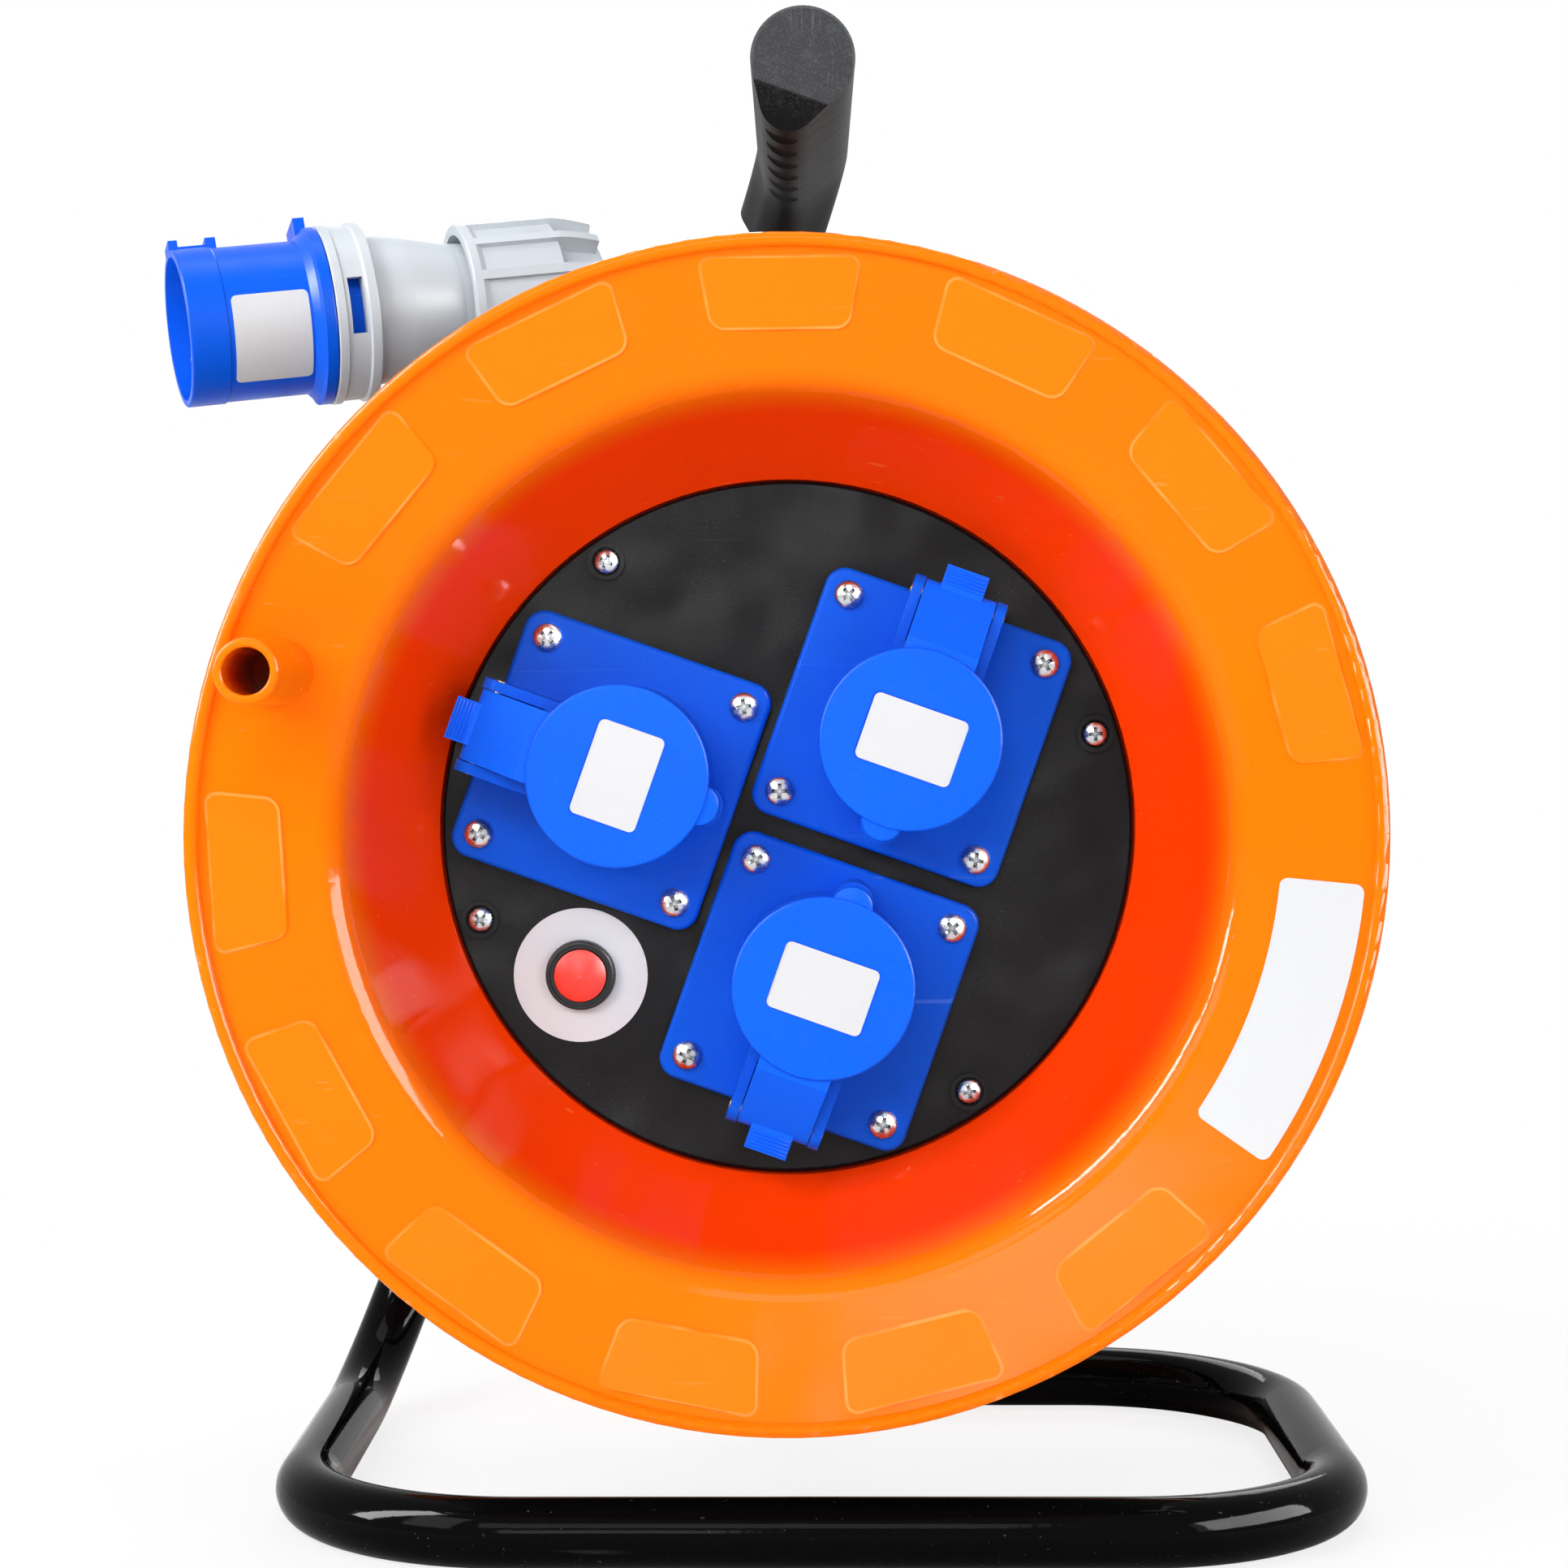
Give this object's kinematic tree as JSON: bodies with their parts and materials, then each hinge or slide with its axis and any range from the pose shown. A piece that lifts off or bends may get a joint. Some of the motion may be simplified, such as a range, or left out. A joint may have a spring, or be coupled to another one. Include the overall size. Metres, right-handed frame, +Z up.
{
  "type": "extension cord reel",
  "caption": "Cord reel: a drum with a dished front, lidded sockets and a crank post turns on the axle of a bent tube stand with a handle; its lead ends in a plug.",
  "frame": {"origin": "on the floor under the middle of the box that holds the reel without its loose lead and plug", "axes": "+Z up, +Y from the drum's socket side towards the stand's upright, +X to the right as seen from the socket side"},
  "size_m": [0.3673, 0.3256, 0.4424],
  "materials": {
    "tube_black": "gloss black paint",
    "grip_rubber": "matte soft grip",
    "steel_zinc": "zinc plated steel",
    "saddle_black": "satin moulded plastic",
    "cord_black": "matte rubber sheath",
    "plug_blue": "satin moulded plastic",
    "plug_grey": "satin moulded plastic",
    "insert_dark": "moulded plastic",
    "pin_brass": "turned brass",
    "shell_orange": "gloss moulded plastic",
    "bush_plastic": "plain bearing plastic",
    "panel_black": "fine grained plastic",
    "seal_rubber": "soft seal",
    "breaker_black": "moulded plastic",
    "bezel_black": "satin ring",
    "button_red": "satin button",
    "socket_blue": "satin moulded plastic",
    "socket_insert": "moulded plastic",
    "spring_steel": "spring wire"
  },
  "bodies": {
    "frame": {"frame_tube": "tube_black", "handle_grip": "grip_rubber", "axle": "steel_zinc", "axle_saddle": "saddle_black", "axle_washer": "steel_zinc", "axle_nut": "steel_zinc", "thrust_washer": "steel_zinc", "axle_clip": "steel_zinc", "cable_lead": "cord_black", "plug_shroud": "plug_blue", "plug_insert": "insert_dark", "plug_pins": "pin_brass", "plug_collar": "plug_grey", "plug_body": "plug_grey", "plug_gland_nut": "plug_grey"},
    "drum": {"front_shell": "shell_orange", "rear_shell": "shell_orange", "drum_screws": "steel_zinc", "bush_front": "bush_plastic", "bush_rear": "bush_plastic", "socket_panel": "panel_black", "panel_seal": "seal_rubber", "panel_screws": "steel_zinc", "socket_screws": "steel_zinc", "breaker_body": "breaker_black", "reset_bezel": "bezel_black", "winding_core": "cord_black", "cable_winding": "cord_black", "cable_tail": "cord_black", "tail_grommet": "seal_rubber", "tail_clamp": "saddle_black", "clamp_screws": "steel_zinc", "socket_1_housing": "socket_blue", "socket_1_gasket": "seal_rubber", "socket_1_insert": "socket_insert", "socket_1_contacts": "pin_brass", "socket_1_hinge_pin": "pin_brass", "socket_1_spring": "spring_steel", "socket_2_housing": "socket_blue", "socket_2_gasket": "seal_rubber", "socket_2_insert": "socket_insert", "socket_2_contacts": "pin_brass", "socket_2_hinge_pin": "pin_brass", "socket_2_spring": "spring_steel", "socket_3_housing": "socket_blue", "socket_3_gasket": "seal_rubber", "socket_3_insert": "socket_insert", "socket_3_contacts": "pin_brass", "socket_3_hinge_pin": "pin_brass", "socket_3_spring": "spring_steel"},
    "lid_1": {"socket_1_lid": "socket_blue", "socket_1_lid_seal": "seal_rubber"},
    "lid_2": {"socket_2_lid": "socket_blue", "socket_2_lid_seal": "seal_rubber"},
    "lid_3": {"socket_3_lid": "socket_blue", "socket_3_lid_seal": "seal_rubber"},
    "button": {"reset_button": "button_red"}
  },
  "joints": [
    {"name": "drum_spin", "type": "hinge", "parent": "frame", "child": "drum", "pos_m": [-0.00425, 0, 0.208], "axis": [0, 1, 0], "continuous": true, "deforming": ["cable_lead"]},
    {"name": "lid_1_hinge", "type": "hinge", "parent": "drum", "child": "lid_1", "pos_m": [0.04401, -0.07178, 0.2719], "axis": [-0.9432, 0, 0.3322], "range_deg": [0, 110], "stiffness_Nm_per_rad": 0.02, "springref_deg": -28.65, "deforming": ["socket_1_spring"]},
    {"name": "lid_2_hinge", "type": "hinge", "parent": "drum", "child": "lid_2", "pos_m": [-0.09026, -0.07178, 0.23681], "axis": [-0.3322, 0, -0.9432], "range_deg": [0, 110], "stiffness_Nm_per_rad": 0.02, "springref_deg": -28.65, "deforming": ["socket_2_spring"]},
    {"name": "lid_3_hinge", "type": "hinge", "parent": "drum", "child": "lid_3", "pos_m": [-0.00744, -0.07178, 0.12548], "axis": [0.9432, 0, -0.3322], "range_deg": [0, 110], "stiffness_Nm_per_rad": 0.02, "springref_deg": -28.65, "deforming": ["socket_3_spring"]},
    {"name": "reset_press", "type": "slide", "parent": "drum", "child": "button", "axis": [0, 1, 0], "range_m": [0, 0.003], "stiffness_N_per_m": 300, "springref_m": -0.002}
  ]
}
